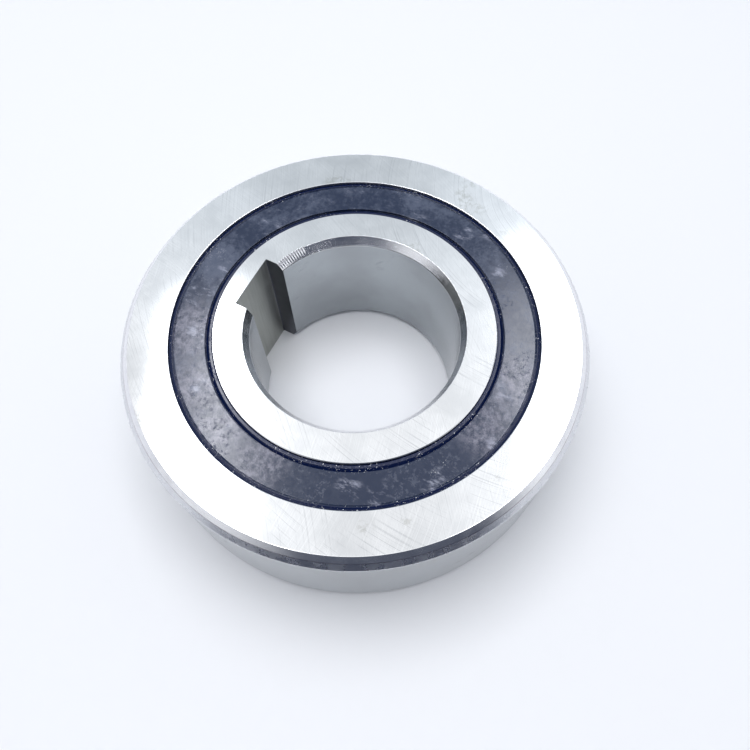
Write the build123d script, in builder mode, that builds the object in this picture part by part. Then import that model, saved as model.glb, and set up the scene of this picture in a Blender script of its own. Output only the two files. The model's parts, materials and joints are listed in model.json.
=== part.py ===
from build123d import *
import os
from math import asin, cos, degrees, pi, radians, sin, tan

# Sprag clutch bearing: a row of balls and a row of sprags side by side between two rings,
# closed by a rubber seal at each end. The outer ring is pressed into a housing and the inner
# ring is keyed to a shaft. The origin is on the axis at mid width, the axis is Z, and the
# keyway is on the +Y side. The balls are in the lower half and the sprags in the upper half.

# Boundary sizes
outer_diameter = 62.0
width = 20.0

# Outer ring
outer_ring_wall = 8.0         # from the outer raceway to the outside
corner_chamfer = 0.7          # 45 degree part of the turned corner, next to the face
corner_taper_depth = 0.64     # steep part of the corner, measured along the radius
corner_taper_length = 0.9     # steep part of the corner, measured along the axis

# Inner ring
inner_ring_wall = 4.7         # from the bore to the raceway
bore_chamfer_depth = 0.75     # turned edge of the bore, measured along the radius
bore_chamfer_length = 1.25    # and along the axis
land_chamfer = 0.15           # edge break between the raceway and the side faces
key_width = 8.0
key_depth = 2.0               # from the crown of the bore to the keyway's floor

# Space between the rings
race_gap = 4.3                # from the inner raceway to the outer raceway

# Ball row
ball_diameter = 6.35
ball_count = 9
ball_clearance = 0.02         # between a ball and the bottom of each groove
groove_ratio = 0.52           # groove radius as a share of the ball's diameter
pocket_clearance = 0.12       # between a ball and its pocket in the cage
ball_cage_web = 0.65          # cage material behind each ball
ball_cage_margin = 0.8        # from the cage to each ring
claw_rise = 1.3               # height of the snap claws above the ball's centre
claw_thickness = 1.1
claw_root_drop = 0.9          # from the ball's centre down to the floor between two claws

# Sprag row
sprag_count = 18
sprag_width = 3.5
outer_cam_radius = 2.6        # face that bears on the outer ring
inner_cam_radius = 2.9        # face that bears on the inner ring
strut_angle = 3.5             # lean of the line between the two contacts, in degrees
contact_clearance = 0.02      # between a sprag and each raceway at rest
waist_half_width = 1.25       # on the plain side
notch_half_width = 0.95       # on the side that the spring tab presses
sprag_end_play = 0.1          # between a sprag and each end of its window
row_gap = 0.6                 # from the balls to the sprag cages

# Sprag cages and spring
cage_rail = 0.9               # solid strip at each end of the windows
cage_sheet = 0.6
cage_margin = 0.7             # from each cage to its raceway
window_side_play = 0.2        # between a sprag and each side of its window
flange_reach = 1.0            # width of the seat that holds the outer cage's flange
cage_running_gap = 0.1        # between the inner cage's flange and the outer cage
ribbon_thickness = 0.2
ribbon_side_play = 0.25       # between the sprag's waist and the ribbon's window
tab_clearance = 0.1           # between a tab and the sprag's notch
tab_length = 0.9
tab_width = 2.6

# Seals
seal_recess = 0.25            # from the ring's face down to the seal's face
seal_thickness = 1.6
seal_step = 1.4               # from the outer raceway to the mouth of the seal's seat
seal_undercut = 0.55          # depth of the groove that holds the seal's bead
bead_height = 0.8
bead_slope = 0.25             # rise of the groove's slanted upper wall
rim_width = 0.5               # raised rim around the seal's face
rim_rise = 0.05               # rim above the seal's face
rim_groove_width = 0.3
rim_groove_depth = 0.3
lip_clearance = 0.05          # between the lip and the inner ring
lip_band = 0.95               # from the inner ring to the seal's face
lip_bead = 0.45               # width of the lip's rounded crest
lip_drop = 0.2                # crest below the seal's face
lip_groove_depth = 0.5
lip_thickness = 0.45
end_gap = 0.45                # from each seal to the cages
insert_cover = 0.6            # rubber over the steel insert
insert_thickness = 0.45
insert_side_cover = 0.7       # rubber from the insert to the mouth of the seat
insert_inner_cover = 0.65     # rubber from the lip band to the insert

# Radii, from the outside to the bore
outer_radius = outer_diameter / 2
outer_race = outer_radius - outer_ring_wall
inner_race = outer_race - race_gap
bore_radius = inner_race - inner_ring_wall
pitch_radius = inner_race + race_gap / 2
ball_radius = ball_diameter / 2
groove_radius = groove_ratio * ball_diameter
groove_offset = groove_radius - ball_radius - ball_clearance
mouth_radius = outer_race + seal_step
bead_radius = mouth_radius + seal_undercut
flange_radius = outer_race + flange_reach

# Heights, with z = 0 at mid width
face_z = width / 2
seat_z = face_z - seal_recess - seal_thickness
bead_top_z = seat_z + bead_height
ball_z = -seat_z + end_gap + ball_cage_web + pocket_clearance + ball_radius
unit_bottom = ball_z + ball_radius + row_gap
unit_top = seat_z - end_gap
unit_length = unit_top - unit_bottom
window_length = unit_length - 2 * cage_rail
window_z = (unit_bottom + unit_top) / 2
sprag_length = window_length - 2 * sprag_end_play
sprag_bottom = unit_bottom + cage_rail + sprag_end_play
flange_z = unit_top - cage_sheet

os.makedirs("parts", exist_ok=True)


def save(builder, name):
    builder.part.label = name
    export_step(builder.part, f"parts/{name}.step")


# Outer ring: housing diameter, turned corners, seal seats, sprag raceway and ball groove
corner_radius = outer_radius - corner_taper_depth
corner_z = face_z - corner_chamfer
with BuildPart() as outer_ring:
    with BuildSketch(Plane.XZ):
        with BuildLine():
            Polyline(
                (mouth_radius, face_z),
                (corner_radius - corner_chamfer, face_z),
                (corner_radius, corner_z),
                (outer_radius, corner_z - corner_taper_length),
                (outer_radius, -corner_z + corner_taper_length),
                (corner_radius, -corner_z),
                (corner_radius - corner_chamfer, -face_z),
                (mouth_radius, -face_z),
                (mouth_radius, -bead_top_z - bead_slope),
                (bead_radius, -bead_top_z),
                (bead_radius, -seat_z),
                (outer_race, -seat_z),
                (outer_race, flange_z),
                (flange_radius, flange_z),
                (flange_radius, seat_z),
                (bead_radius, seat_z),
                (bead_radius, bead_top_z),
                (mouth_radius, bead_top_z + bead_slope),
                close=True,
            )
        make_face()
        with Locations((pitch_radius - groove_offset, ball_z)):
            Circle(groove_radius, mode=Mode.SUBTRACT)
    revolve(axis=Axis.Z)
save(outer_ring, "outer_ring")

# Inner ring: bore with keyway, raceway for the sprags and the seal lips, and ball groove
with BuildPart() as inner_ring:
    with BuildSketch(Plane.XZ):
        with BuildLine():
            Polyline(
                (bore_radius, face_z - bore_chamfer_length),
                (bore_radius + bore_chamfer_depth, face_z),
                (inner_race - land_chamfer, face_z),
                (inner_race, face_z - land_chamfer),
                (inner_race, -face_z + land_chamfer),
                (inner_race - land_chamfer, -face_z),
                (bore_radius + bore_chamfer_depth, -face_z),
                (bore_radius, -face_z + bore_chamfer_length),
                close=True,
            )
        make_face()
        with Locations((pitch_radius + groove_offset, ball_z)):
            Circle(groove_radius, mode=Mode.SUBTRACT)
    revolve(axis=Axis.Z)
    with BuildSketch(Plane.XY.offset(-face_z)):
        Rectangle(key_width, bore_radius + key_depth, align=(Align.CENTER, Align.MIN))
    extrude(amount=width, mode=Mode.SUBTRACT)
save(inner_ring, "inner_ring")

# Balls, evenly spaced, the first on the +X side
for number in range(ball_count):
    angle = 2 * pi * number / ball_count
    with BuildPart() as ball:
        with Locations((pitch_radius * cos(angle), pitch_radius * sin(angle), ball_z)):
            Sphere(ball_radius)
    save(ball, f"ball_{number + 1:02d}")

# Ball cage: a moulded ring whose claws snap over the balls from below
pocket_radius = ball_radius + pocket_clearance
cage_inner = inner_race + ball_cage_margin
cage_outer = outer_race - ball_cage_margin
cage_back = -seat_z + end_gap
claw_gap = 2 * pitch_radius * sin(pi / ball_count) - 2 * (pocket_radius + claw_thickness)
with BuildPart() as ball_cage:
    with BuildSketch(Plane.XY.offset(cage_back)):
        Circle(cage_outer)
        Circle(cage_inner, mode=Mode.SUBTRACT)
    extrude(amount=ball_z + claw_rise - cage_back)
    with Locations((0, 0, ball_z)):
        with PolarLocations(pitch_radius, ball_count):
            Cylinder(pocket_radius, 2 * race_gap, rotation=(0, 90, 0), mode=Mode.SUBTRACT)
    with BuildSketch(Plane.XY.offset(ball_z - claw_root_drop)):
        with PolarLocations(pitch_radius, ball_count, start_angle=180 / ball_count):
            Rectangle(race_gap, claw_gap)
    extrude(amount=claw_root_drop + claw_rise, mode=Mode.SUBTRACT)
save(ball_cage, "ball_cage")

# Sprags: struts with two offset cam faces. Each outline is drawn about the sprag's own pivot,
# with x along the radius, so that the long diagonal leans and the height grows as it tilts.
contact_shift = race_gap * tan(radians(strut_angle)) / 2
outer_cam_x = outer_race - contact_clearance - outer_cam_radius - pitch_radius
inner_cam_x = inner_race + contact_clearance + inner_cam_radius - pitch_radius
outer_cam_y = contact_shift * (pitch_radius + outer_cam_x) / outer_race
inner_cam_y = -contact_shift * (pitch_radius + inner_cam_x) / inner_race
outer_arc = degrees(asin(sprag_width / 2 / outer_cam_radius))
inner_arc = degrees(asin(sprag_width / 2 / inner_cam_radius))
outer_cam = (outer_cam_x, outer_cam_y)
inner_cam = (inner_cam_x, inner_cam_y)
for number in range(sprag_count):
    angle = 2 * pi * number / sprag_count
    pivot = Plane(
        origin=(pitch_radius * cos(angle), pitch_radius * sin(angle), sprag_bottom),
        x_dir=(cos(angle), sin(angle), 0),
        z_dir=(0, 0, 1),
    )
    with BuildPart() as sprag:
        with BuildSketch(pivot):
            with BuildLine():
                head = CenterArc(outer_cam, outer_cam_radius, -outer_arc, 2 * outer_arc)
                foot = CenterArc(inner_cam, inner_cam_radius, 180 - inner_arc, 2 * inner_arc)
                ThreePointArc(head @ 1, (0, waist_half_width), foot @ 0)
                ThreePointArc(foot @ 1, (0, -notch_half_width), head @ 0)
            make_face()
        extrude(amount=sprag_length)
    save(sprag, f"sprag_{number + 1:02d}")

# Sprag outer cage: windowed sleeve with a flange that seats in the outer ring
window_width = sprag_width + 2 * (contact_shift + window_side_play)
outer_cage_outer = outer_race - cage_margin
outer_cage_inner = outer_cage_outer - cage_sheet
with BuildPart() as sprag_outer_cage:
    with BuildSketch(Plane.XZ):
        with BuildLine():
            Polyline(
                (outer_cage_inner, unit_bottom),
                (outer_cage_outer, unit_bottom),
                (outer_cage_outer, flange_z),
                (flange_radius, flange_z),
                (flange_radius, unit_top),
                (outer_cage_inner, unit_top),
                close=True,
            )
        make_face()
    revolve(axis=Axis.Z)
    with Locations((0, 0, window_z)):
        with PolarLocations(outer_cage_inner + cage_sheet / 2, sprag_count):
            Box(2 * cage_sheet, window_width, window_length, mode=Mode.SUBTRACT)
save(sprag_outer_cage, "sprag_outer_cage")

# Sprag inner cage: windowed sleeve with a flange that closes the lower end of the unit
inner_cage_inner = inner_race + cage_margin
inner_cage_outer = inner_cage_inner + cage_sheet
flange_top = unit_bottom + cage_sheet
with BuildPart() as sprag_inner_cage:
    with BuildSketch(Plane.XZ):
        with BuildLine():
            Polyline(
                (inner_cage_inner, unit_bottom),
                (outer_cage_inner - cage_running_gap, unit_bottom),
                (outer_cage_inner - cage_running_gap, flange_top),
                (inner_cage_outer, flange_top),
                (inner_cage_outer, unit_top),
                (inner_cage_inner, unit_top),
                close=True,
            )
        make_face()
    revolve(axis=Axis.Z)
    with Locations((0, 0, window_z)):
        with PolarLocations(inner_cage_inner + cage_sheet / 2, sprag_count):
            Box(2 * cage_sheet, window_width, window_length, mode=Mode.SUBTRACT)
save(sprag_inner_cage, "sprag_inner_cage")

# Ribbon spring: thin strip between the cages, standing on the inner cage's flange. Each sprag
# has its own window, and a tab left on one side of the window presses into the sprag's notch.
ribbon_inner = pitch_radius - ribbon_thickness / 2
ribbon_outer = pitch_radius + ribbon_thickness / 2
ribbon_top = unit_top - cage_sheet
plain_edge = waist_half_width + ribbon_side_play
tab_tip = notch_half_width + tab_clearance
slot_length = (window_length - tab_width) / 2
slot_z = (tab_width + slot_length) / 2
with BuildPart() as ribbon_spring:
    with BuildSketch(Plane.XY.offset(flange_top)):
        Circle(ribbon_outer)
        Circle(ribbon_inner, mode=Mode.SUBTRACT)
    extrude(amount=ribbon_top - flange_top)
    with Locations((0, 0, window_z)):
        with PolarLocations(pitch_radius, sprag_count):
            with Locations((0, (plain_edge - tab_tip) / 2, 0)):
                Box(4 * ribbon_thickness, plain_edge + tab_tip, window_length, mode=Mode.SUBTRACT)
            with Locations((0, -tab_tip, slot_z), (0, -tab_tip, -slot_z)):
                Box(4 * ribbon_thickness, 2 * tab_length, slot_length, mode=Mode.SUBTRACT)
save(ribbon_spring, "ribbon_spring")

# Seals: rubber moulded on a steel insert. The bead snaps into the groove of the outer ring and
# the lip runs on the inner ring. The upper seal faces +Z and the lower one faces -Z.
lip_radius = inner_race + lip_clearance
body_radius = inner_race + lip_band
rim_inner = mouth_radius - rim_width
groove_middle = rim_inner - rim_groove_width / 2
groove_outer = rim_inner - rim_groove_width
seal_face = seat_z + seal_thickness
lip_crest = seal_face - lip_drop
insert_top = seal_face - insert_cover
insert_bottom = insert_top - insert_thickness
insert_outer = mouth_radius - insert_side_cover
insert_inner = body_radius + insert_inner_cover
for side, direction in (("upper", 1), ("lower", -1)):
    with BuildPart() as seal_rubber:
        with BuildSketch(Plane.XZ):
            with BuildLine():
                Polyline(
                    (lip_radius, direction * lip_crest),
                    (lip_radius + lip_bead, direction * lip_crest),
                    (body_radius, direction * (seal_face - lip_groove_depth)),
                    (body_radius, direction * seal_face),
                    (groove_outer, direction * seal_face),
                    (groove_middle, direction * (seal_face - rim_groove_depth)),
                    (rim_inner, direction * (seal_face + rim_rise)),
                    (mouth_radius, direction * (seal_face + rim_rise)),
                    (mouth_radius, direction * (bead_top_z + bead_slope)),
                    (bead_radius, direction * bead_top_z),
                    (bead_radius, direction * seat_z),
                    (insert_outer, direction * seat_z),
                    (insert_outer, direction * insert_top),
                    (insert_inner, direction * insert_top),
                    (insert_inner, direction * insert_bottom),
                    (lip_radius, direction * (lip_crest - lip_thickness)),
                    close=True,
                )
            make_face()
        revolve(axis=Axis.Z)
    save(seal_rubber, f"{side}_seal_rubber")

    with BuildPart() as seal_insert:
        with BuildSketch(Plane.XZ):
            with BuildLine():
                Polyline(
                    (insert_inner, direction * insert_top),
                    (insert_outer, direction * insert_top),
                    (insert_outer, direction * seat_z),
                    (insert_outer - insert_thickness, direction * seat_z),
                    (insert_outer - insert_thickness, direction * insert_bottom),
                    (insert_inner, direction * insert_bottom),
                    close=True,
                )
            make_face()
        revolve(axis=Axis.Z)
    save(seal_insert, f"{side}_seal_insert")
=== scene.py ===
import json
import math

import bpy
from mathutils import Matrix, Vector


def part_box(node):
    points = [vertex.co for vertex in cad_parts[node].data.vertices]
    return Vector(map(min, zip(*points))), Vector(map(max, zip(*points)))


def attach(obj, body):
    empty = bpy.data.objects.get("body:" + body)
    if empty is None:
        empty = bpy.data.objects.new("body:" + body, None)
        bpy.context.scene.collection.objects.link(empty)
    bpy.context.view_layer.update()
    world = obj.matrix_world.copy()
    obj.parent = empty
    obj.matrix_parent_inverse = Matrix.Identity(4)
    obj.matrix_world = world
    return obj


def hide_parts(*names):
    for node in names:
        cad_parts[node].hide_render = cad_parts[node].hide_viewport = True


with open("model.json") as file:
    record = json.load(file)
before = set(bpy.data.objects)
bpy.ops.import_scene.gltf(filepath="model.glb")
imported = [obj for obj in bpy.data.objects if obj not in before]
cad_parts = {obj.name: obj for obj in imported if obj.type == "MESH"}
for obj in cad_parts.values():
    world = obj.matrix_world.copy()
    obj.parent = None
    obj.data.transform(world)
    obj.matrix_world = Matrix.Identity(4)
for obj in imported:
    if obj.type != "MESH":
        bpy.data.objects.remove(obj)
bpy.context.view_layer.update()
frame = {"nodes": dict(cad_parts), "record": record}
cadNodes = frame["nodes"]
mm = 0.001

# Sizes that come from the frame
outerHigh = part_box("outer_ring")[1]
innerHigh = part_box("inner_ring")[1]
sealLow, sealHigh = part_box("upper_seal_rubber")
outerRadius = outerHigh.x
faceZ = outerHigh.z
landRadius = innerHigh.x                       # outside of the inner ring
beadRadius = sealHigh.x
rimZ = sealHigh.z
seatZ = sealLow.z
boreMount = next(m for m in frame["record"]["mounts"] if m["name"] == "bore")
boreRadius = boreMount["dims"]["r_mm"] * mm
ballLow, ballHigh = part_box("ball_01")
ballRadius = (ballHigh.z - ballLow.z) / 2
ballZ = (ballHigh.z + ballLow.z) / 2
ballPitch = (ballHigh.x + ballLow.x) / 2
mouthRadius = beadRadius - 0.55 * mm           # of the opening that each seal snaps through
undercutZ = seatZ + 0.8 * mm                   # top of the groove behind it
undercutSlope = 0.25 * mm
front = (-0.883, -0.469, 0.0)                  # towards the viewer
noiseSpan = (0.3, 0.7)                         # where most of a noise's values lie
print("frame loaded,", len(cadNodes), "CAD nodes")


# Node helpers
def addNode(tree, kind, inputs=None, **settings):
    node = tree.nodes.new(kind)
    for key, value in settings.items():
        setattr(node, key, value)
    for key, value in (inputs or {}).items():
        if hasattr(value, "is_output"):
            tree.links.new(value, node.inputs[key])
        else:
            node.inputs[key].default_value = value
    return node


def calc(tree, operation, a, b=0.0):
    return addNode(tree, "ShaderNodeMath", {0: a, 1: b}, operation=operation).outputs[0]


def blendColour(tree, factor, a, b):
    node = addNode(tree, "ShaderNodeMix", {"Factor": factor}, data_type="RGBA")
    for socket, value in ((node.inputs[6], a), (node.inputs[7], b)):
        if hasattr(value, "is_output"):
            tree.links.new(value, socket)
        else:
            socket.default_value = (*value, 1.0)
    return node.outputs[2]


def vectorMath(tree, operation, a, b=(0, 0, 0)):
    return addNode(tree, "ShaderNodeVectorMath", {0: a, 1: b}, operation=operation).outputs


def flatten(tree, place):
    return vectorMath(tree, "MULTIPLY", place, (1, 1, 0))[0]


def distanceTo(tree, place, point):
    return vectorMath(tree, "DISTANCE", place, point)["Value"]


def towards(tree, place, side):
    return vectorMath(tree, "DOT_PRODUCT", place, side)["Value"]


def axisOf(tree, place, axis):
    return addNode(tree, "ShaderNodeSeparateXYZ", {0: place}).outputs[axis]


def radiusOf(tree, place):
    return vectorMath(tree, "LENGTH", flatten(tree, place))["Value"]


def ramp(tree, value, low, high, outLow=0.0, outHigh=1.0):
    node = addNode(tree, "ShaderNodeMapRange", {"Value": value, "From Min": low, "From Max": high,
                   "To Min": outLow, "To Max": outHigh}, interpolation_type="SMOOTHSTEP")
    return node.outputs["Result"]


def levelSteps(tree, value, points):
    node = addNode(tree, "ShaderNodeValToRGB", {"Fac": value})
    stops = node.color_ramp.elements
    stops.remove(stops[1])
    for number, (place, level) in enumerate(points):
        stop = stops[0] if number == 0 else stops.new(place)
        stop.position = place
        stop.color = (level / 2, level / 2, level / 2, 1.0)
    return calc(tree, "MULTIPLY", node.outputs["Color"], 2.0)


def noise(tree, vector, scale, detail=3.0, rough=0.5, distortion=0.0):
    node = addNode(tree, "ShaderNodeTexNoise", {"Vector": vector, "Scale": scale, "Detail": detail,
                   "Roughness": rough, "Distortion": distortion})
    return node.outputs["Fac"]


def lineNoise(tree, value, scale, detail=4.0, rough=0.6):
    node = addNode(tree, "ShaderNodeTexNoise", {"W": value, "Scale": scale, "Detail": detail,
                   "Roughness": rough}, noise_dimensions="1D")
    return node.outputs["Fac"]


def nearPlaces(tree, place, places, core, height=0.0):
    near = 0.0
    for x, y, size in places:        # in mm
        away = distanceTo(tree, place, (x * mm, y * mm, height))
        near = calc(tree, "MAXIMUM", near, ramp(tree, away, core * size * mm, size * mm, 1.0, 0.0))
    return near


def newMaterial(name, metallic=0.0, **sockets):
    material = bpy.data.materials.new(name)
    material.use_nodes = True
    tree = material.node_tree
    shader = tree.nodes["Principled BSDF"]
    shader.inputs["Metallic"].default_value = metallic
    for key, value in sockets.items():
        shader.inputs[key.replace("_", " ")].default_value = value
    place = addNode(tree, "ShaderNodeTexCoord").outputs["Object"]
    return material, tree, shader, place


def finish(tree, shader, colour, roughness, height=None, depth=0.0):
    tree.links.new(colour, shader.inputs["Base Color"])
    tree.links.new(roughness, shader.inputs["Roughness"])
    if height is not None:
        bump = addNode(tree, "ShaderNodeBump", {"Height": height, "Distance": depth})
        tree.links.new(bump.outputs["Normal"], shader.inputs["Normal"])


# Steel finishes. A pattern is how many there are in a metre, then its detail, roughness and distortion;
# a range is where a pattern begins to show and where it is full, and sometimes how strong it is there
grinding = {
    "light": (0.96, 0.96, 0.96),
    "dark": (0.66, 0.67, 0.68),
    "stain": (0.46, 0.46, 0.41),
    "roughness": (0.045, 0.075),
    # centre of each wheel's marks in mm, and how much lighter or darker its scratches are
    "wheels": ((35.1, -19.3, -0.70), (-24.2, 30.7, 0.24), (-72.0, 52.0, -0.30), (-30.0, 101.0, 0.20)),
    "patches": 110.0,               # that the first wheel bites
    "morePatches": 23.0,            # for each next wheel
    "patchDetail": (3.0, 0.6),
    "patchRange": (0.40, 0.60),
    "wheelPitch": 0.17,             # how much closer the marks of each next wheel are
    "grain": 3600.0,
    "grainShare": 0.25,
    "lines": 2800.0,
    "lineDetail": (5.0, 0.75),
    "lineRange": (0.54, 0.66),
    "wornRange": (-12 * mm, 24 * mm, 0.45),        # the marks grow from the back to the front
    "toneRange": (-0.45, 0.75),
    "spots": ((-22.7, -13.4, 1.5), (-19.9, -17.4, 1.2), (-10.6, -24.3, 1.0)),      # small oil stains, in mm
    "spotCore": 0.1,
    "spotStrength": 0.42,
    "stains": (110.0, 1.0),
    "stainRange": (0.62, 0.70, 0.0, 0.4),
    "blots": (1100.0, 4.0, 0.65, 0.5),
    "blotRange": (0.44, 0.62),
    "smears": (130.0, 3.0),
    "smearRange": (0.3, 0.9),
    "smearLoss": 0.2,               # the marks are less smeared
    "depth": 0.00022 * mm,
}


def makeGroundFace(s):
    material, tree, shader, place = newMaterial("groundFaceSteel", metallic=1.0)
    flat = flatten(tree, place)
    grain, marks = 0.0, 0.0
    for number, (x, y, weight) in enumerate(s["wheels"]):
        reach = distanceTo(tree, flat, (x * mm, y * mm, 0))
        pitch = 1 + s["wheelPitch"] * number
        patches = noise(tree, flat, s["patches"] + s["morePatches"] * number, *s["patchDetail"])
        cover = ramp(tree, patches, *s["patchRange"])
        wheelGrain = lineNoise(tree, reach, s["grain"] * pitch)
        wheelLines = lineNoise(tree, reach, s["lines"] * pitch, *s["lineDetail"])
        scratch = ramp(tree, wheelLines, *s["lineRange"], 0.0, weight)
        grain = calc(tree, "ADD", grain, calc(tree, "MULTIPLY", cover, wheelGrain))
        marks = calc(tree, "ADD", marks, calc(tree, "MULTIPLY", cover, scratch))
    wornFrom, wornTo, least = s["wornRange"]
    worn = ramp(tree, towards(tree, flat, front), wornFrom, wornTo, least, 1.0)
    marks = calc(tree, "MULTIPLY", marks, worn)
    tone = calc(tree, "ADD", calc(tree, "MULTIPLY", grain, s["grainShare"]), marks)
    colour = blendColour(tree, ramp(tree, tone, *s["toneRange"]), s["dark"], s["light"])
    spots = calc(tree, "MULTIPLY", nearPlaces(tree, flat, s["spots"], s["spotCore"]), s["spotStrength"])
    stain = ramp(tree, noise(tree, flat, *s["stains"]), *s["stainRange"])
    blots = ramp(tree, noise(tree, flat, *s["blots"]), *s["blotRange"])
    stain = calc(tree, "MULTIPLY", calc(tree, "MAXIMUM", stain, spots), blots)
    colour = blendColour(tree, stain, colour, s["stain"])
    smear = calc(tree, "SUBTRACT", noise(tree, flat, *s["smears"]),
                 calc(tree, "MULTIPLY", marks, s["smearLoss"]))
    roughness = ramp(tree, smear, *s["smearRange"], *s["roughness"])
    finish(tree, shader, colour, roughness, calc(tree, "ADD", grain, marks), s["depth"])
    return material


turning = {
    "light": (0.90, 0.90, 0.92),
    "dark": (0.79, 0.79, 0.82),
    "second": (0.57, 0.58, 0.61),    # the second part of the corner is duller than the first
    "line": (0.46, 0.42, 0.45),      # a dark line where the two parts of the corner meet
    "chip": (1.0, 1.0, 1.0),
    "roughness": (0.14, 0.24),
    "secondRoughness": 0.08,
    "secondShare": 0.5,
    "rings": (14000.0, 2.0),
    "ringShare": 0.3,
    "clouds": (420.0, 4.0, 0.65),
    "toneRange": (0.4, 0.9),
    "lineAt": outerRadius - faceZ + 0.06 * mm,     # radius less height
    "lineWidth": (0.03 * mm, 0.11 * mm),           # from its middle to where it fades, and to its end
    "secondFade": 0.1 * mm,
    "breaks": (500.0, 2.0),         # where the line is fainter
    "breakRange": (0.3, 0.6, 0.65, 1.0),
    "chips": 2600.0,
    "chipSize": (0.10, 0.16),
    "chipPatches": (900.0, 1.0),
    "chipPatchRange": (0.60, 0.68),
    "depth": 0.0009 * mm,
}


def makeTurnedEdge(s):
    material, tree, shader, place = newMaterial("turnedEdgeSteel", metallic=1.0)
    radius = radiusOf(tree, place)
    along = calc(tree, "SUBTRACT", radius, calc(tree, "ABSOLUTE", axisOf(tree, place, "Z")))
    rings = lineNoise(tree, along, *s["rings"])
    cloud = noise(tree, place, *s["clouds"])
    tone = calc(tree, "ADD", cloud, calc(tree, "MULTIPLY", rings, s["ringShare"]))
    colour = blendColour(tree, ramp(tree, tone, *s["toneRange"]), s["dark"], s["light"])
    second = ramp(tree, along, s["lineAt"], s["lineAt"] + s["secondFade"])
    colour = blendColour(tree, calc(tree, "MULTIPLY", second, s["secondShare"]), colour, s["second"])
    off = calc(tree, "ABSOLUTE", calc(tree, "SUBTRACT", along, s["lineAt"]))
    line = calc(tree, "MULTIPLY", ramp(tree, off, *s["lineWidth"], 1.0, 0.0),
                ramp(tree, noise(tree, place, *s["breaks"]), *s["breakRange"]))
    colour = blendColour(tree, line, colour, s["line"])
    chips = addNode(tree, "ShaderNodeTexVoronoi", {"Vector": place, "Scale": s["chips"]})
    chip = ramp(tree, chips.outputs["Distance"], *s["chipSize"], 1.0, 0.0)
    patches = ramp(tree, noise(tree, place, *s["chipPatches"]), *s["chipPatchRange"])
    chip = calc(tree, "MULTIPLY", chip, patches)
    chip = calc(tree, "MULTIPLY", chip, calc(tree, "GREATER_THAN", radius, landRadius))
    colour = blendColour(tree, chip, colour, s["chip"])
    roughness = calc(tree, "ADD", ramp(tree, cloud, *noiseSpan, *s["roughness"]),
                     calc(tree, "MULTIPLY", second, s["secondRoughness"]))
    finish(tree, shader, colour, roughness, rings, s["depth"])
    return material


honing = {
    "light": (0.435, 0.465, 0.487),
    "dark": (0.345, 0.367, 0.385),
    "smudge": (0.24, 0.252, 0.255),
    "roughness": (0.15, 0.25),
    "roughnessRange": (0.3, 1.0),
    "lines": (9000.0, 4.0, 0.7),
    "lineShare": 0.25,
    "clouds": (120.0, 3.0),
    "smudges": (260.0, 4.0, 0.6, 0.4),
    "smudgeRange": (0.62, 0.76, 0.0, 0.45),
    "depth": 0.0012 * mm,
}


def makeRoundGround(s):
    material, tree, shader, place = newMaterial("cylinderGroundSteel", metallic=1.0)
    lines = lineNoise(tree, axisOf(tree, place, "Z"), *s["lines"])
    cloud = noise(tree, place, *s["clouds"])
    smudge = ramp(tree, noise(tree, place, *s["smudges"]), *s["smudgeRange"])
    colour = blendColour(tree, ramp(tree, cloud, *noiseSpan), s["dark"], s["light"])
    colour = blendColour(tree, calc(tree, "MULTIPLY", lines, s["lineShare"]), colour, s["dark"])
    colour = blendColour(tree, smudge, colour, s["smudge"])
    roughness = ramp(tree, calc(tree, "ADD", cloud, smudge), *s["roughnessRange"], *s["roughness"])
    finish(tree, shader, colour, roughness, lines, s["depth"])
    return material


broaching = {
    "light": (0.44, 0.455, 0.43),
    "dark": (0.33, 0.34, 0.315),
    # painted shade: the slot's walls get this dark colour in place of their shade
    "wall": (0.105, 0.11, 0.13),
    "wallAt": 3.9 * mm,             # from the middle of the slot
    "roughness": (0.30, 0.45),
    "streaks": (2600.0, 3.0, 0.6),
    "streakStretch": 0.04,          # they are drawn out along the slot
    "streakShare": 0.5,
    "clouds": (240.0, 3.0),
    "depth": 0.004 * mm,
}


def makeBroached(s):
    material, tree, shader, place = newMaterial("broachedKeywaySteel", metallic=1.0)
    drawnOut = addNode(tree, "ShaderNodeMapping", {"Vector": place, "Scale": (1, 1, s["streakStretch"])})
    streaks = noise(tree, drawnOut.outputs[0], *s["streaks"])
    cloud = noise(tree, place, *s["clouds"])
    tone = calc(tree, "ADD", calc(tree, "MULTIPLY", streaks, s["streakShare"]),
                calc(tree, "MULTIPLY", cloud, 1 - s["streakShare"]))
    colour = blendColour(tree, ramp(tree, tone, *noiseSpan), s["dark"], s["light"])
    # the slot's walls are painted dark as their shade
    wallShadeMask = calc(tree, "GREATER_THAN", calc(tree, "ABSOLUTE", axisOf(tree, place, "X")), s["wallAt"])
    colour = blendColour(tree, wallShadeMask, colour, s["wall"])
    finish(tree, shader, colour, ramp(tree, cloud, *noiseSpan, *s["roughness"]), streaks, s["depth"])
    return material


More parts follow.
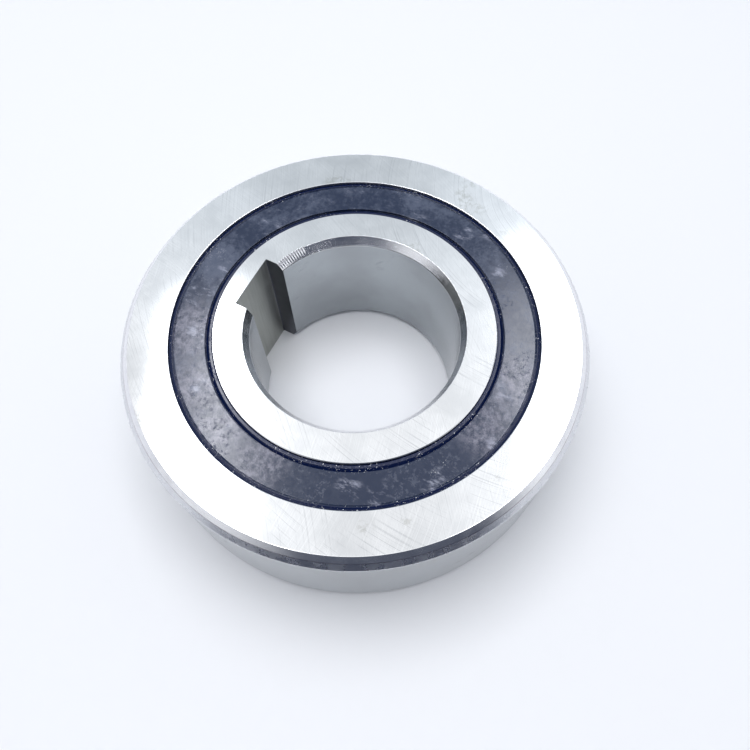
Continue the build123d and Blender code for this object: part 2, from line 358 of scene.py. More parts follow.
# Seal rubber, with the marked places and their sizes in mm
rubber = {
    "dark": (0.009, 0.018, 0.048),
    # bloom and painted sheen: partly a real waxy bloom, partly the lamps' sheen painted in
    "bloomAndSheen": (0.066, 0.082, 0.130),
    "clouds": (150.0, 5.0, 0.62, 0.6),
    "grain": (1500.0, 5.0, 0.7),
    "grainShare": 0.6,
    "bloomAndSheenRange": (0.68, 1.02),
    "bloomAndSheenFade": (9 * mm, 20 * mm, 0.1),           # least bloom and painted sheen at the front
    "handled": (0.175, 0.175, 0.23),
    "handledAt": ((-4.6, -20.9, 5.5), (1.9, -21.4, 5.5), (-10.1, 19.0, 6.0),
                  (-16.2, 14.2, 5.0), (-19.8, 8.4, 5.0), (-21.4, 1.5, 4.5)),
    "handledCore": 0.3,
    "handledGrain": (1100.0, 6.0, 0.75),
    "handledRange": (0.38, 0.68),
    "scuff": (0.34, 0.36, 0.46),
    "scuffAt": ((-4.1, 21.1, 2.8), (-10.8, 17.9, 3.0), (-16.0, 13.6, 2.0), (-19.5, -9.5, 2.2)),
    "scuffCore": 0.2,
    "rubbed": (170.0, 2.0),
    "rubbedRange": (0.50, 0.66, 0.0, 0.8),
    "strokes": (900.0, 5.0, 0.72),
    "strokeRange": (0.50, 0.70),
    "strokeTurn": 0.9,
    "strokeStretch": 0.45,
    "matt": 0.26,                   # how much rougher the dull places are
    "flecks": (1900.0, 4.0, 0.7, 0.2),
    "fleckRange": (0.53, 0.62),
    "dull": (130.0, 2.0),
    "dullRange": (0.47, 0.58),
    "grooveShade": (0.002, 0.007, 0.040),                 # painted shade in the grooves at both edges
    "grooveShadeInside": (landRadius + 0.80 * mm, landRadius + 1.0 * mm),
    "grooveShadeOutside": (beadRadius - 1.15 * mm, beadRadius - 1.0 * mm),
    "dust": (0.80, 0.82, 0.86),
    "dustAt": ((4.1, 19.4, 1.6), (-17.7, -9.4, 5.0), (-20.6, -10.9, 4.0)),
    "dustCore": 0.4,
    "dustInside": (landRadius + 0.5 * mm, landRadius + 1.5 * mm),
    "dustOutside": (beadRadius - 1.5 * mm, beadRadius - 1.1 * mm),
    "spread": (190.0, 3.0, 0.7),    # dust away from the edges
    "spreadRange": (0.58, 0.66, 0.0, 0.9),
    "gathers": (260.0, 4.0, 0.6),
    "gatherRange": (0.47, 0.58),
    "specks": (3300.0, 5.0, 0.75),
    "speckRange": (0.60, 0.66),
    "roughness": (0.11, 0.19),
    "grainHeight": 0.5,             # against the dust's
    "depth": 0.005 * mm,
}


def makeRubber(s):
    material, tree, shader, place = newMaterial("sealRubber", Specular_IOR_Level=0.5)
    radius = radiusOf(tree, place)
    grain = noise(tree, place, *s["grain"])
    clouds = calc(tree, "ADD", noise(tree, place, *s["clouds"]), calc(tree, "MULTIPLY", grain, s["grainShare"]))
    bloomAndSheen = ramp(tree, clouds, *s["bloomAndSheenRange"])
    # painted sheen: the bloom colour fades out towards the front, painting that side darker
    fadeFrom, fadeTo, least = s["bloomAndSheenFade"]
    fade = ramp(tree, towards(tree, place, front), fadeFrom, fadeTo, 1.0, least)
    colour = blendColour(tree, calc(tree, "MULTIPLY", bloomAndSheen, fade), s["dark"], s["bloomAndSheen"])

    handled = nearPlaces(tree, place, s["handledAt"], s["handledCore"], rimZ)
    grey = ramp(tree, noise(tree, place, *s["handledGrain"]), *s["handledRange"])
    colour = blendColour(tree, calc(tree, "MULTIPLY", handled, grey), colour, s["handled"])

    wiped = addNode(tree, "ShaderNodeMapping", {"Vector": place, "Rotation": (0, 0, s["strokeTurn"]),
                    "Scale": (1.0, s["strokeStretch"], 1.0)}).outputs[0]
    strokes = ramp(tree, noise(tree, wiped, *s["strokes"]), *s["strokeRange"])
    rubbed = calc(tree, "MAXIMUM", ramp(tree, noise(tree, place, *s["rubbed"]), *s["rubbedRange"]),
                  nearPlaces(tree, place, s["scuffAt"], s["scuffCore"], rimZ))
    colour = blendColour(tree, calc(tree, "MULTIPLY", strokes, rubbed), colour, s["scuff"])

    # painted shade: darker rubber at the grooves by both edges
    grooveShade = calc(tree, "MAXIMUM", ramp(tree, radius, *s["grooveShadeInside"], 1.0, 0.0),
                ramp(tree, radius, *s["grooveShadeOutside"]))
    colour = blendColour(tree, grooveShade, colour, s["grooveShade"])

    edges = calc(tree, "MAXIMUM", ramp(tree, radius, *s["dustInside"], 1.0, 0.0),
                 ramp(tree, radius, *s["dustOutside"]))
    spread = ramp(tree, noise(tree, place, *s["spread"]), *s["spreadRange"])
    gathers = calc(tree, "MAXIMUM", ramp(tree, noise(tree, place, *s["gathers"]), *s["gatherRange"]),
                   nearPlaces(tree, place, s["dustAt"], s["dustCore"], rimZ))
    specks = ramp(tree, noise(tree, place, *s["specks"]), *s["speckRange"])
    dusty = calc(tree, "MULTIPLY", calc(tree, "MAXIMUM", edges, spread), gathers)
    dust = calc(tree, "MULTIPLY", specks, dusty)
    colour = blendColour(tree, dust, colour, s["dust"])

    flecks = ramp(tree, noise(tree, place, *s["flecks"]), *s["fleckRange"])
    dull = calc(tree, "MAXIMUM", ramp(tree, noise(tree, place, *s["dull"]), *s["dullRange"]), handled)
    matt = calc(tree, "MAXIMUM", calc(tree, "MULTIPLY", flecks, dull), dust)
    roughness = calc(tree, "ADD", ramp(tree, grain, *noiseSpan, *s["roughness"]),
                     calc(tree, "MULTIPLY", matt, s["matt"]))
    height = calc(tree, "ADD", calc(tree, "MULTIPLY", grain, s["grainHeight"]), dust)
    finish(tree, shader, colour, roughness, height, s["depth"])
    return material


# Finishes of the inner works
works = {
    "ballChromeSteel": {"dark": (0.70, 0.71, 0.73), "light": (0.80, 0.81, 0.83), "roughness": (0.05, 0.10),
                        "clouds": 300.0, "depth": 0.0004 * mm},
    "spragSteel": {"dark": (0.46, 0.46, 0.47), "light": (0.60, 0.60, 0.61), "roughness": (0.22, 0.34),
                   "clouds": 500.0, "depth": 0.003 * mm},
    "pressedCageSteel": {"dark": (0.38, 0.39, 0.38), "light": (0.52, 0.53, 0.52), "roughness": (0.30, 0.44),
                         "clouds": 420.0, "depth": 0.003 * mm},
    "ribbonSpringSteel": {"dark": (0.30, 0.34, 0.44), "light": (0.52, 0.50, 0.46), "roughness": (0.20, 0.32),
                          "clouds": 260.0, "depth": 0.003 * mm},
    "sealInsertSteel": {"dark": (0.44, 0.43, 0.40), "light": (0.56, 0.55, 0.53), "roughness": (0.36, 0.50),
                        "clouds": 380.0, "depth": 0.003 * mm},
    "cagePolyamide": {"dark": (0.52, 0.47, 0.34), "light": (0.62, 0.57, 0.43), "roughness": (0.42, 0.55),
                      "clouds": 350.0, "depth": 0.01 * mm, "metallic": 0.0},
}
worksDetail = {
    "clouds": (4.0, 0.6),
    "grain": (3.0, 0.6),
    "grainPerCloud": 9,
    "grainShare": 0.3,
}


def makeWorks(name, s, detail):
    material, tree, shader, place = newMaterial(name, metallic=s.get("metallic", 1.0))
    cloud = noise(tree, place, s["clouds"], *detail["clouds"])
    grain = noise(tree, place, s["clouds"] * detail["grainPerCloud"], *detail["grain"])
    tone = calc(tree, "ADD", calc(tree, "MULTIPLY", cloud, 1 - detail["grainShare"]),
                calc(tree, "MULTIPLY", grain, detail["grainShare"]))
    colour = blendColour(tree, ramp(tree, tone, *noiseSpan), s["dark"], s["light"])
    finish(tree, shader, colour, ramp(tree, tone, *noiseSpan, *s["roughness"]), grain, s["depth"])
    return material


groundFace = makeGroundFace(grinding)
turnedEdge = makeTurnedEdge(turning)
roundGround = makeRoundGround(honing)
broached = makeBroached(broaching)
sealRubber = makeRubber(rubber)
worksFinish = {name: makeWorks(name, settings, worksDetail) for name, settings in works.items()}
print("finishes made,", len(bpy.data.materials), "materials")


def dress(node, material):
    mesh = cadNodes[node].data
    if mesh.materials:
        mesh.materials[0] = material
    else:
        mesh.materials.append(material)


for node in cadNodes:
    kind, _, number = node.partition("_")
    if number.isdigit():
        dress(node, worksFinish["ballChromeSteel" if kind == "ball" else "spragSteel"])
for node in ("sprag_outer_cage", "sprag_inner_cage"):
    dress(node, worksFinish["pressedCageSteel"])
for node in ("upper_seal_insert", "lower_seal_insert"):
    dress(node, worksFinish["sealInsertSteel"])
for node in ("upper_seal_rubber", "lower_seal_rubber"):
    dress(node, sealRubber)
for node in ("outer_ring", "inner_ring"):
    dress(node, roundGround)
dress("ribbon_spring", worksFinish["ribbonSpringSteel"])
dress("ball_cage", worksFinish["cagePolyamide"])
print("inner works dressed")


# Turned pieces: a profile with rounded corners, revolved by Geometry Nodes.
# A corner is its radius, its height, its bend and the bend's steps
sharpAngle = math.radians(32)
guard = 0.03 * mm                 # a short flat at each end of a bend, so that the shading stays crisp
edgeUpright = 0.17                # turned edges have normals more upright than this
faceUpright = 0.96                # and ground faces more than this


def roundedLoop(corners):
    points = []
    for number, (radius, height, bend, steps) in enumerate(corners):
        here = Vector((radius, height))
        back = Vector(corners[number - 1][:2]) - here
        ahead = Vector(corners[(number + 1) % len(corners)][:2]) - here
        if bend == 0:
            points.append(here)
            continue
        back.normalize()
        ahead.normalize()
        half = back.angle(ahead) / 2
        reach = bend / math.tan(half)
        centre = here + (back + ahead).normalized() * bend / math.sin(half)
        arm = here + back * reach - centre
        sweep = math.pi - 2 * half
        if arm.x * (here.y - centre.y) - arm.y * (here.x - centre.x) < 0:
            sweep = -sweep
        points.append(here + back * (reach + guard))
        for step in range(steps + 1):
            angle = sweep * step / steps
            points.append(centre + Vector((arm.x * math.cos(angle) - arm.y * math.sin(angle),
                                           arm.x * math.sin(angle) + arm.y * math.cos(angle))))
        points.append(here + ahead * (reach + guard))
    return points


def makeTurningTree():
    tree = bpy.data.node_groups.new("turnedRing", "GeometryNodeTree")
    face = tree.interface
    face.new_socket("Profile", in_out="INPUT", socket_type="NodeSocketGeometry")
    face.new_socket("Segments", in_out="INPUT", socket_type="NodeSocketInt").default_value = 240
    face.new_socket("Path Radius", in_out="INPUT", socket_type="NodeSocketFloat").default_value = 0.02
    for name in ("Round Finish", "Edge Finish", "Face Finish"):
        face.new_socket(name, in_out="INPUT", socket_type="NodeSocketMaterial")
    face.new_socket("Ring", in_out="OUTPUT", socket_type="NodeSocketGeometry")
    source = tree.nodes.new("NodeGroupInput").outputs
    path = addNode(tree, "GeometryNodeCurvePrimitiveCircle",
                   {"Resolution": source["Segments"], "Radius": source["Path Radius"]})
    outline = addNode(tree, "GeometryNodeMeshToCurve", {"Mesh": source["Profile"]})
    swept = addNode(tree, "GeometryNodeCurveToMesh",
                    {"Curve": path.outputs["Curve"], "Profile Curve": outline.outputs["Curve"]})
    whole = addNode(tree, "GeometryNodeRealizeInstances", {"Geometry": swept.outputs["Mesh"]})
    normal = addNode(tree, "ShaderNodeSeparateXYZ", {0: addNode(tree, "GeometryNodeInputNormal").outputs[0]})
    upright = calc(tree, "ABSOLUTE", normal.outputs["Z"])
    geometry = addNode(tree, "GeometryNodeSetMaterial",
                       {"Geometry": whole.outputs[0], "Material": source["Round Finish"]}).outputs[0]
    for limit, name in ((edgeUpright, "Edge Finish"), (faceUpright, "Face Finish")):
        geometry = addNode(tree, "GeometryNodeSetMaterial", {
            "Geometry": geometry, "Selection": calc(tree, "GREATER_THAN", upright, limit),
            "Material": source[name]}).outputs[0]
    addNode(tree, "NodeGroupOutput", {"Ring": geometry})
    return tree


turningTree = makeTurningTree()


def linkObject(name, data):
    made = bpy.data.objects.new(name, data)
    bpy.context.collection.objects.link(made)
    return made


def smoothPiece(name, mesh):
    mesh.polygons.foreach_set("use_smooth", [True] * len(mesh.polygons))
    mesh.set_sharp_from_angle(angle=sharpAngle)
    return linkObject(name, mesh)


def turnPiece(name, corners, pathRadius, segments, finishes, flip=False):
    loop = roundedLoop(corners)
    mesh = bpy.data.meshes.new(name + "Profile")
    edges = [(n, (n + 1) % len(loop)) for n in range(len(loop))]
    mesh.from_pydata([(p.x - pathRadius, -p.y, 0) for p in loop], edges, [])
    source = linkObject(name + "Profile", mesh)
    modifier = source.modifiers.new("turning", "NODES")
    modifier.node_group = turningTree
    sockets = {item.name: item.identifier for item in turningTree.interface.items_tree
               if item.in_out == "INPUT"}
    modifier[sockets["Segments"]] = segments
    modifier[sockets["Path Radius"]] = pathRadius
    for label, material in zip(("Round Finish", "Edge Finish", "Face Finish"), finishes):
        modifier[sockets[label]] = material
    bpy.context.view_layer.update()
    ready = source.evaluated_get(bpy.context.evaluated_depsgraph_get())
    made = bpy.data.meshes.new_from_object(ready)
    bpy.data.objects.remove(source)
    made.name = name
    if flip:
        made.flip_normals()
    return smoothPiece(name, made)


ballGroove = {
    "ratio": 1.04,                  # of the groove's radius to the ball's
    "gap": 0.02 * mm,
    "steps": 16,
}


# side is 1 for the groove outside the balls and -1 for the one inside
def grooveArc(side, raceRadius, s):
    reach = s["ratio"] * ballRadius
    centre = ballPitch - side * (reach - ballRadius - s["gap"])
    edge = math.acos(side * (raceRadius - centre) / reach)
    angles = [edge * (2 * n / s["steps"] - 1) for n in range(s["steps"] + 1)]
    return [(centre + side * reach * math.cos(a), ballZ + reach * math.sin(a)) for a in angles]


outerRing = {
    "segments": 288,
    "chamfer": 0.7 * mm,
    "cornerDepth": 0.64 * mm,       # second part of the corner, along the radius
    "cornerLength": 0.9 * mm,       # and along the axis
    "cornerBend": 0.30 * mm,
    "edgeBend": 0.09 * mm,
    "raceRadius": landRadius + 4.3 * mm,
    "flangeRadius": landRadius + 5.3 * mm,
    "flangeZ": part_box("sprag_outer_cage")[1].z - 0.6 * mm,
}


def makeOuterRing(s):
    cornerR = outerRadius - s["cornerDepth"]
    cornerZ = faceZ - s["chamfer"]
    foot = cornerZ - s["cornerLength"]
    half = [
        (mouthRadius, faceZ, s["edgeBend"], 3),
        (cornerR - s["chamfer"], faceZ, s["edgeBend"], 3),
        (cornerR, cornerZ, s["edgeBend"], 2),
        (outerRadius, foot, s["cornerBend"], 6),
    ]
    seat = [
        (mouthRadius, undercutZ + undercutSlope, 0, 0),
        (beadRadius, undercutZ, 0, 0),
        (beadRadius, seatZ, 0, 0),
    ]
    flange = [(s["flangeRadius"], seatZ, 0, 0), (s["flangeRadius"], s["flangeZ"], 0, 0),
              (s["raceRadius"], s["flangeZ"], 0, 0)]
    mirrored = [(r, -z, bend, steps) for r, z, bend, steps in reversed(half)]
    lowerSeat = [(r, -z, bend, steps) for r, z, bend, steps in seat]
    race = [(s["raceRadius"], -seatZ, 0, 0)]
    race += [(r, z, 0, 0) for r, z in grooveArc(1, s["raceRadius"], ballGroove)]
    corners = half + mirrored + lowerSeat + race + flange[::-1] + seat[::-1]
    piece = turnPiece("outerRingShell", corners, s["raceRadius"], s["segments"],
                      (roundGround, turnedEdge, groundFace))
    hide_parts("outer_ring")
    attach(piece, "outer_assembly")
    return piece


outerRingShell = makeOuterRing(outerRing)
print("outer ring turned,", len(outerRingShell.data.polygons), "faces")

seal = {
    "segments": 288,
    "rimWidth": 0.5 * mm,
    "crown": 0.07 * mm,             # how far the face falls towards its outer edge
    "rimRise": 0.05 * mm,
    "rimFall": 0.26 * mm,           # the rim rounds off towards the steel
    "grooveWidth": 0.24 * mm,
    "grooveDepth": 0.10 * mm,
    "lipGap": 0.02 * mm,
    "band": 0.95 * mm,              # from the inner ring to the seal's face
    "lipBead": 0.45 * mm,
    "lipDrop": 0.1 * mm,
    "lipGroove": 0.5 * mm,
    "lipThickness": 0.45 * mm,
    "bend": 0.06 * mm,
    "lipBend": 0.12 * mm,
    "lipBeadBend": 0.10 * mm,
    "grooveBend": 0.04 * mm,
    "rimBend": 0.05 * mm,
    "beadBend": 0.1 * mm,
    "insertInset": 0.6 * mm,
    "insertGauge": 0.45 * mm,
    "insertOut": 0.7 * mm,
    "insertIn": 0.65 * mm,
}


def makeSeal(name, node, side, s):
    top = rimZ - s["rimRise"]
    crest = top - s["lipDrop"]
    lip = landRadius + s["lipGap"]
    body = landRadius + s["band"]
    rimIn = mouthRadius - s["rimWidth"]
    insertTop = top - s["insertInset"]
    insertOut = mouthRadius - s["insertOut"]
    insertIn = body + s["insertIn"]
    corners = [
        (lip, crest, s["lipBend"], 3),
        (lip + s["lipBead"], crest, s["lipBeadBend"], 3),
        (body, top - s["lipGroove"], s["bend"], 2),
        (body, top, s["bend"], 3),
        (rimIn - s["grooveWidth"], top - s["crown"], s["bend"], 3),
        (rimIn - s["grooveWidth"] / 2, top - s["crown"] - s["grooveDepth"], s["grooveBend"], 2),
        (rimIn, rimZ, s["rimBend"], 3),
        (mouthRadius, rimZ - s["rimFall"], s["bend"], 3),
        (mouthRadius, undercutZ + undercutSlope, 0, 0),
        (beadRadius, undercutZ, s["beadBend"], 2),
        (beadRadius, seatZ, s["beadBend"], 2),
        (insertOut, seatZ, 0, 0),
        (insertOut, insertTop, 0, 0),
        (insertIn, insertTop, 0, 0),
        (insertIn, insertTop - s["insertGauge"], 0, 0),
        (lip, crest - s["lipThickness"], s["beadBend"], 2),
    ]
    corners = [(r, side * z, bend, steps) for r, z, bend, steps in corners]
    piece = turnPiece(name, corners, mouthRadius, s["segments"], (sealRubber,) * 3, flip=side < 0)
    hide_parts(node)
    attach(piece, "outer_assembly")
    return piece


upperSeal = makeSeal("upperSealMoulding", "upper_seal_rubber", 1, seal)
lowerSeal = makeSeal("lowerSealMoulding", "lower_seal_rubber", -1, seal)
print("seals moulded,", len(upperSeal.data.polygons), "and", len(lowerSeal.data.polygons), "faces")

# Inner ring: loops round the axis, the ones at the bore following the keyway
innerRing = {
    "arcSteps": 440,
    "wallSteps": 3,
    "floorSteps": 10,
    "boreEdgeDepth": 0.75 * mm,
    "boreEdgeLength": 1.25 * mm,
    "boreEdgeBends": (0.5 * mm, 0.06 * mm),     # at the bore and at the face
    "landChamfer": 0.1 * mm,
    "chatter": (math.radians(56), math.radians(73.5)),      # where there are notches beside the keyway
    "chatterDepth": 0.22 * mm,
    "chatterStart": 0.4,            # how far up the edge they begin
    "keyWidth": 8.0 * mm,
    "keyFloor": boreRadius + 2.0 * mm,
    "keyRoot": 0.12 * mm,
    "rootSteps": 4,
    "keyedLand": 1.2 * mm,          # past the keyway's floor the loops are round
    "slotReach": 0.7 * mm,          # how far below the bore's radius the slot's walls start
    "near": 0.01 * mm,
    "wallUpright": 0.2,             # the slot's walls have normals less upright than this
    "edgeUpright": 0.16,            # turned edges more than this
    "faceUpright": 0.985,           # and ground faces more than this
}


def keyedLoop(radius, height, s):
    half = s["keyWidth"] / 2
    root = math.sqrt(radius ** 2 - half ** 2)
    start = math.atan2(root, -half)
    sweep = 2 * math.pi - 2 * (start - math.pi / 2)
    chatterFrom, chatterTo = s["chatter"]
    upEdge = (radius - boreRadius) / s["boreEdgeDepth"] - s["chatterStart"]
    notch = s["chatterDepth"] * max(0.0, upEdge) / (1 - s["chatterStart"])
    points = []
    for n in range(s["arcSteps"] + 1):
        angle = start + sweep * n / s["arcSteps"]
        notched = n % 2 and chatterFrom < angle - 2 * math.pi < chatterTo
        reach = radius + notch if notched else radius
        points.append(Vector((reach * math.cos(angle), reach * math.sin(angle), height)))
    bend = s["keyRoot"]
    flat = half - bend
    rise = s["keyFloor"] - bend - root
    for n in range(1, s["wallSteps"]):
        points.append(Vector((half, root + rise * n / s["wallSteps"], height)))
    for side in (1, -1):
        for n in range(s["rootSteps"] + 1):
            angle = math.pi / 2 * n / s["rootSteps"]
            across, up = math.cos(angle), math.sin(angle)
            if side < 0:
                across, up = up, across
            points.append(Vector((side * (flat + bend * across), s["keyFloor"] - bend + bend * up, height)))
        for n in range(1, s["floorSteps"] if side > 0 else 1):
            points.append(Vector((flat - 2 * flat * n / s["floorSteps"], s["keyFloor"], height)))
    for n in range(1, s["wallSteps"]):
        points.append(Vector((-half, root + rise * (1 - n / s["wallSteps"]), height)))
    return points


def makeInnerRing(s):
    low, high = s["boreEdgeBends"]
    edgeLine = roundedLoop([(boreRadius, 0, 0, 0),
                            (boreRadius, faceZ - s["boreEdgeLength"], low, 5),
                            (boreRadius + s["boreEdgeDepth"], faceZ, high, 6),
                            (landRadius, faceZ, 0, 0)])[1:-1]
    angles = [math.atan2(p.y, p.x) for p in keyedLoop(boreRadius, faceZ, s)]

    def plainLoop(radius, height):
        return [Vector((radius * math.cos(a), radius * math.sin(a), height)) for a in angles]

    topSide = [keyedLoop(point.x, point.y, s) for point in edgeLine]
    landR = landRadius - s["landChamfer"]
    landZ = faceZ - s["landChamfer"]
    outside = [plainLoop(s["keyFloor"] + s["keyedLand"], faceZ), plainLoop(landR - guard, faceZ),
               plainLoop(landR, faceZ), plainLoop(landRadius, landZ), plainLoop(landRadius, landZ - guard)]
    below = [[Vector((p.x, p.y, -p.z)) for p in loop] for loop in reversed(topSide + outside)]
    groove = [plainLoop(r, z) for r, z in reversed(grooveArc(-1, landRadius, ballGroove))]
    loops = topSide + outside + groove + below
    count = len(angles)
    vertices = [p for loop in loops for p in loop]
    faces = []
    for level in range(len(loops)):
        following = (level + 1) % len(loops)
        for n in range(count):
            m = (n + 1) % count
            faces.append((level * count + n, following * count + n,
                          following * count + m, level * count + m))
    mesh = bpy.data.meshes.new("innerRingShell")
    mesh.from_pydata(vertices, [], faces)
    for material in (roundGround, turnedEdge, groundFace, broached):
        mesh.materials.append(material)
    for polygon in mesh.polygons:
        middle = polygon.center
        upright = abs(polygon.normal.z)
        inSlot = (abs(middle.x) < s["keyWidth"] / 2 + s["near"]
                  and boreRadius - s["slotReach"] < middle.y < s["keyFloor"] + s["near"])
        if upright < s["wallUpright"] and inSlot:
            polygon.material_index = 3
        elif upright > s["faceUpright"]:
            polygon.material_index = 2
        elif upright > s["edgeUpright"] and abs(middle.z) > edgeLine[0].y:
            polygon.material_index = 1
    piece = smoothPiece("innerRingShell", mesh)
    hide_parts("inner_ring")
    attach(piece, "inner_ring")
    return piece


innerRingShell = makeInnerRing(innerRing)
print("inner ring cut,", len(innerRingShell.data.polygons), "faces")

# Studio: places are given as the viewer stands, then turned to the part's frame
viewerAngle = math.radians(-62)
viewerTurn = Matrix.Rotation(viewerAngle, 3, "Z")


def asViewed(tree, vector):
    return addNode(tree, "ShaderNodeMapping", {"Vector": vector, "Rotation": (0, 0, -viewerAngle)}).outputs[0]


view = {
    "eye": (2.585 * mm, -44.608 * mm, 88.931 * mm),
    "target": (2.585 * mm, -6.960 * mm, 10.0 * mm),
    "roll": -0.01478,
    "lens": 33.056,
    "sensor": 36.0,
    "nearest": 5 * mm,
}


def makeCamera(s):
    eye = viewerTurn @ Vector(s["eye"])
    ahead = (viewerTurn @ Vector(s["target"]) - eye).normalized()
    right = viewerTurn @ Vector((1, 0, 0))
    up = right.cross(ahead)
    cosR, sinR = math.cos(s["roll"]), math.sin(s["roll"])
    right, up = cosR * right + sinR * up, cosR * up - sinR * right
    data = bpy.data.cameras.new("studioCamera")
    data.lens = s["lens"]
    data.sensor_width = s["sensor"]
    data.clip_start = s["nearest"]
    camera = linkObject("studioCamera", data)
    axes = Matrix((right, up, -ahead)).transposed()
    camera.matrix_world = Matrix.Translation(eye) @ axes.to_4x4()
    bpy.context.scene.camera = camera


floorPaper = {
    "colour": (0.790, 0.806, 0.838),
    "shade": 0.985,
    "clouds": 9.0,
    "grain": 700.0,
    "roughness": (0.6, 0.7),
    "half": 2.0,                    # half its width, in metres
}


def makeFloor(s):
    material, tree, shader, place = newMaterial("floorPaper")
    shaded = [c * s["shade"] for c in s["colour"]]
    colour = blendColour(tree, noise(tree, place, s["clouds"]), s["colour"], shaded)
    finish(tree, shader, colour, ramp(tree, noise(tree, place, s["grain"]), *noiseSpan, *s["roughness"]))
    half = s["half"]
    corners = [(-half, -half, -faceZ), (half, -half, -faceZ), (half, half, -faceZ), (-half, half, -faceZ)]
    mesh = bpy.data.meshes.new("studioFloor")
    mesh.from_pydata(corners, [], [(0, 1, 2, 3)])
    mesh.materials.append(material)
    linkObject("studioFloor", mesh)


# Light strips: only reflections show them, and the soft box lights the floor
strips = {
    "height": 0.5,
    "colour": (0.95, 0.962, 1.0),
    "falloff": 2.0,
    # left, right, near and far edge, radiance, and the widths over which the sides and the ends fade
    "leftStrip": (-0.224, -0.080, -0.32, 0.362, 11.5, (0.070, 0.090)),
    "rightStrip": (0.114, 0.215, -0.26, 0.430, 8.0, (0.035, 0.160)),
}


def makeStrip(name, s):
    left, right, near, far, radiance, fades = s[name]
    data = bpy.data.lights.new(name, "AREA")
    data.shape = "RECTANGLE"
    data.size, data.size_y = right - left, far - near
    data.color = s["colour"]
    data.energy = radiance * math.pi * data.size * data.size_y
    data.use_nodes = True
    tree = data.node_tree
    shares = addNode(tree, "ShaderNodeSeparateXYZ",
                     {0: addNode(tree, "ShaderNodeNewGeometry").outputs["Parametric"]}).outputs
    soft = 1.0
    for axis, size, fade in zip("XY", (data.size, data.size_y), fades):
        fromEdge = calc(tree, "MINIMUM", shares[axis], calc(tree, "SUBTRACT", 1.0, shares[axis]))
        soft = calc(tree, "MULTIPLY", soft, ramp(tree, calc(tree, "MULTIPLY", fromEdge, size), 0.0, fade))
    tree.links.new(calc(tree, "POWER", soft, s["falloff"]), tree.nodes["Emission"].inputs["Strength"])
    strip = linkObject(name, data)
    place = viewerTurn @ Vector(((left + right) / 2, (near + far) / 2, s["height"]))
    strip.matrix_world = Matrix.Translation(place) @ viewerTurn.to_4x4()
    strip.visible_diffuse = False


softBox = {
    "place": (-0.04, 0.07, 0.65),
    "size": 0.55,
    "radiance": 4.35,
    "colour": (0.985, 0.982, 1.0),
}


def makeSoftBox(s):
    data = bpy.data.lights.new("softBox", "AREA")
    data.size = s["size"]
    data.color = s["colour"]
    data.energy = s["radiance"] * math.pi * data.size ** 2
    box = linkObject("softBox", data)
    place = viewerTurn @ Vector(s["place"])
    box.matrix_world = Matrix.Translation(place) @ place.to_track_quat("Z", "Y").to_matrix().to_4x4()
    box.visible_glossy = False


# Low card in front, seen only in the steel: dark, and pale at both ends
card = {
    "ends": (-0.095, -0.028, 0.042, 0.080),      # left end, dark part from and to, right end
    "height": 0.019,
    "place": -0.066,
    "dark": (0.072, 0.082, 0.120),
    "pale": (0.42, 0.44, 0.48),
    "waver": 300.0,
    "waverBy": 2 * mm,
    "grain": 900.0,
    "roughness": (0.8, 0.9),
}


def makeCard(s):
    material, tree, shader, place = newMaterial("blackCard")
    left, darkFrom, darkTo, right = s["ends"]
    waver = calc(tree, "MULTIPLY", noise(tree, place, s["waver"]), s["waverBy"])
    across = calc(tree, "ADD", axisOf(tree, asViewed(tree, place), "X"), waver)
    pale = calc(tree, "MAXIMUM", ramp(tree, across, left, darkFrom, 1.0, 0.0),
                ramp(tree, across, darkTo, right))
    roughness = ramp(tree, noise(tree, place, s["grain"]), *noiseSpan, *s["roughness"])
    finish(tree, shader, blendColour(tree, pale, s["dark"], s["pale"]), roughness)
    y, top = s["place"], s["height"] - faceZ
    corners = [(left, y, -faceZ), (right, y, -faceZ), (right, y, top), (left, y, top)]
    mesh = bpy.data.meshes.new("blackCard")
    mesh.from_pydata([viewerTurn @ Vector(corner) for corner in corners], [], [(3, 2, 1, 0)])
    mesh.materials.append(material)
    made = linkObject("blackCard", mesh)
    made.visible_camera = False
    made.visible_diffuse = False
    made.visible_shadow = False


# Surround: the side walls, and a ceiling given by its levels from overhead to low at the back
surround = {
    "ceiling": ((0.0, 1.50), (0.12, 1.25), (0.20, 0.95), (0.25, 0.98), (0.33, 1.10),
                (0.45, 1.02), (0.55, 0.90), (0.61, 0.80), (0.67, 0.72), (0.80, 0.68)),
    "backRange": (0.33, 0.74),
    "glow": ((-0.03, -0.22, 0.28), (0.06, 0.22, 0.14)),      # beside each strip: from, to, how much
    "glowBack": (0.45, 0.56),                                # where the glow ends
    "glowLeft": (-0.34, -0.26),
    "leftWall": (-0.40, 0.98),                               # where the wall is reached, and how bright it is
    "rightWall": (0.22, 1.08),
    "wallStart": 0.07,
    "ceilingTint": (0.94, 0.965, 1.0),
    "wallTint": (0.84, 0.92, 1.0),
    "opening": (0.088, 0.100, 0.135),                        # the dark room through the open front
    "openingLeft": (math.radians(-55), math.radians(-15)),
    "openingRight": (math.radians(40), math.radians(75)),
    "openingTop": (0.80, 0.96),
    "mattShare": 0.48,                                       # how much of its light matt surfaces get
    "backdrop": (0.90, 0.925, 0.96),
}


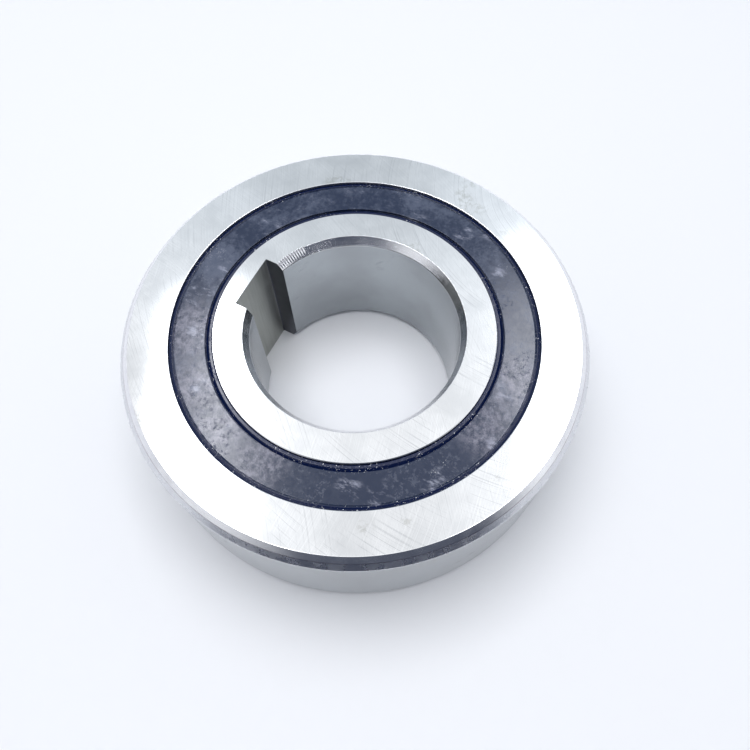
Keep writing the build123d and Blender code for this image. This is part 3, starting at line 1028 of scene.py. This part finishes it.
def makeWorld(s):
    world = bpy.data.worlds.new("studioSurround")
    bpy.context.scene.world = world
    world.use_nodes = True
    tree = world.node_tree
    tree.nodes.clear()
    direction = addNode(tree, "ShaderNodeTexCoord").outputs["Generated"]
    axes = addNode(tree, "ShaderNodeSeparateXYZ", {0: asViewed(tree, direction)}).outputs
    aside = calc(tree, "ARCTAN2", axes["X"], calc(tree, "MULTIPLY", axes["Y"], -1.0))     # 0 is in front
    dark = calc(tree, "MULTIPLY", ramp(tree, aside, *s["openingLeft"]),
                ramp(tree, aside, *s["openingRight"], 1.0, 0.0))
    dark = calc(tree, "MULTIPLY", dark, ramp(tree, axes["Z"], *s["openingTop"], 1.0, 0.0))
    light = levelSteps(tree, axes["Y"], s["ceiling"])
    for edge, value in (s["leftWall"], s["rightWall"]):
        share = ramp(tree, axes["X"], s["wallStart"] * edge, edge)
        light = addNode(tree, "ShaderNodeMix", {0: share, 2: light, 3: value}, data_type="FLOAT").outputs[0]
    glowing = calc(tree, "MULTIPLY", ramp(tree, axes["Y"], *s["glowBack"], 1.0, 0.0),
                   ramp(tree, axes["X"], *s["glowLeft"]))
    for start, end, gain in s["glow"]:
        glow = calc(tree, "MULTIPLY", glowing, ramp(tree, axes["X"], start, end, 0.0, gain))
        light = calc(tree, "ADD", light, glow)
    tint = blendColour(tree, ramp(tree, axes["Y"], *s["backRange"]), s["ceilingTint"], s["wallTint"])
    walls = vectorMath(tree, "MULTIPLY", tint, light)[0]
    room = blendColour(tree, dark, walls, s["opening"])
    rays = addNode(tree, "ShaderNodeLightPath").outputs
    held = calc(tree, "MULTIPLY", rays["Is Diffuse Ray"], 1 - s["mattShare"])
    room = vectorMath(tree, "MULTIPLY", room, calc(tree, "SUBTRACT", 1.0, held))[0]
    colour = blendColour(tree, rays["Is Camera Ray"], room, s["backdrop"])
    background = addNode(tree, "ShaderNodeBackground", {"Color": colour})
    output = addNode(tree, "ShaderNodeOutputWorld")
    tree.links.new(background.outputs[0], output.inputs["Surface"])


makeCamera(view)
makeFloor(floorPaper)
makeCard(card)
for name in ("leftStrip", "rightStrip"):
    makeStrip(name, strips)
makeSoftBox(softBox)
makeWorld(surround)
bpy.context.scene.view_settings.view_transform = "Standard"
print("studio lit")
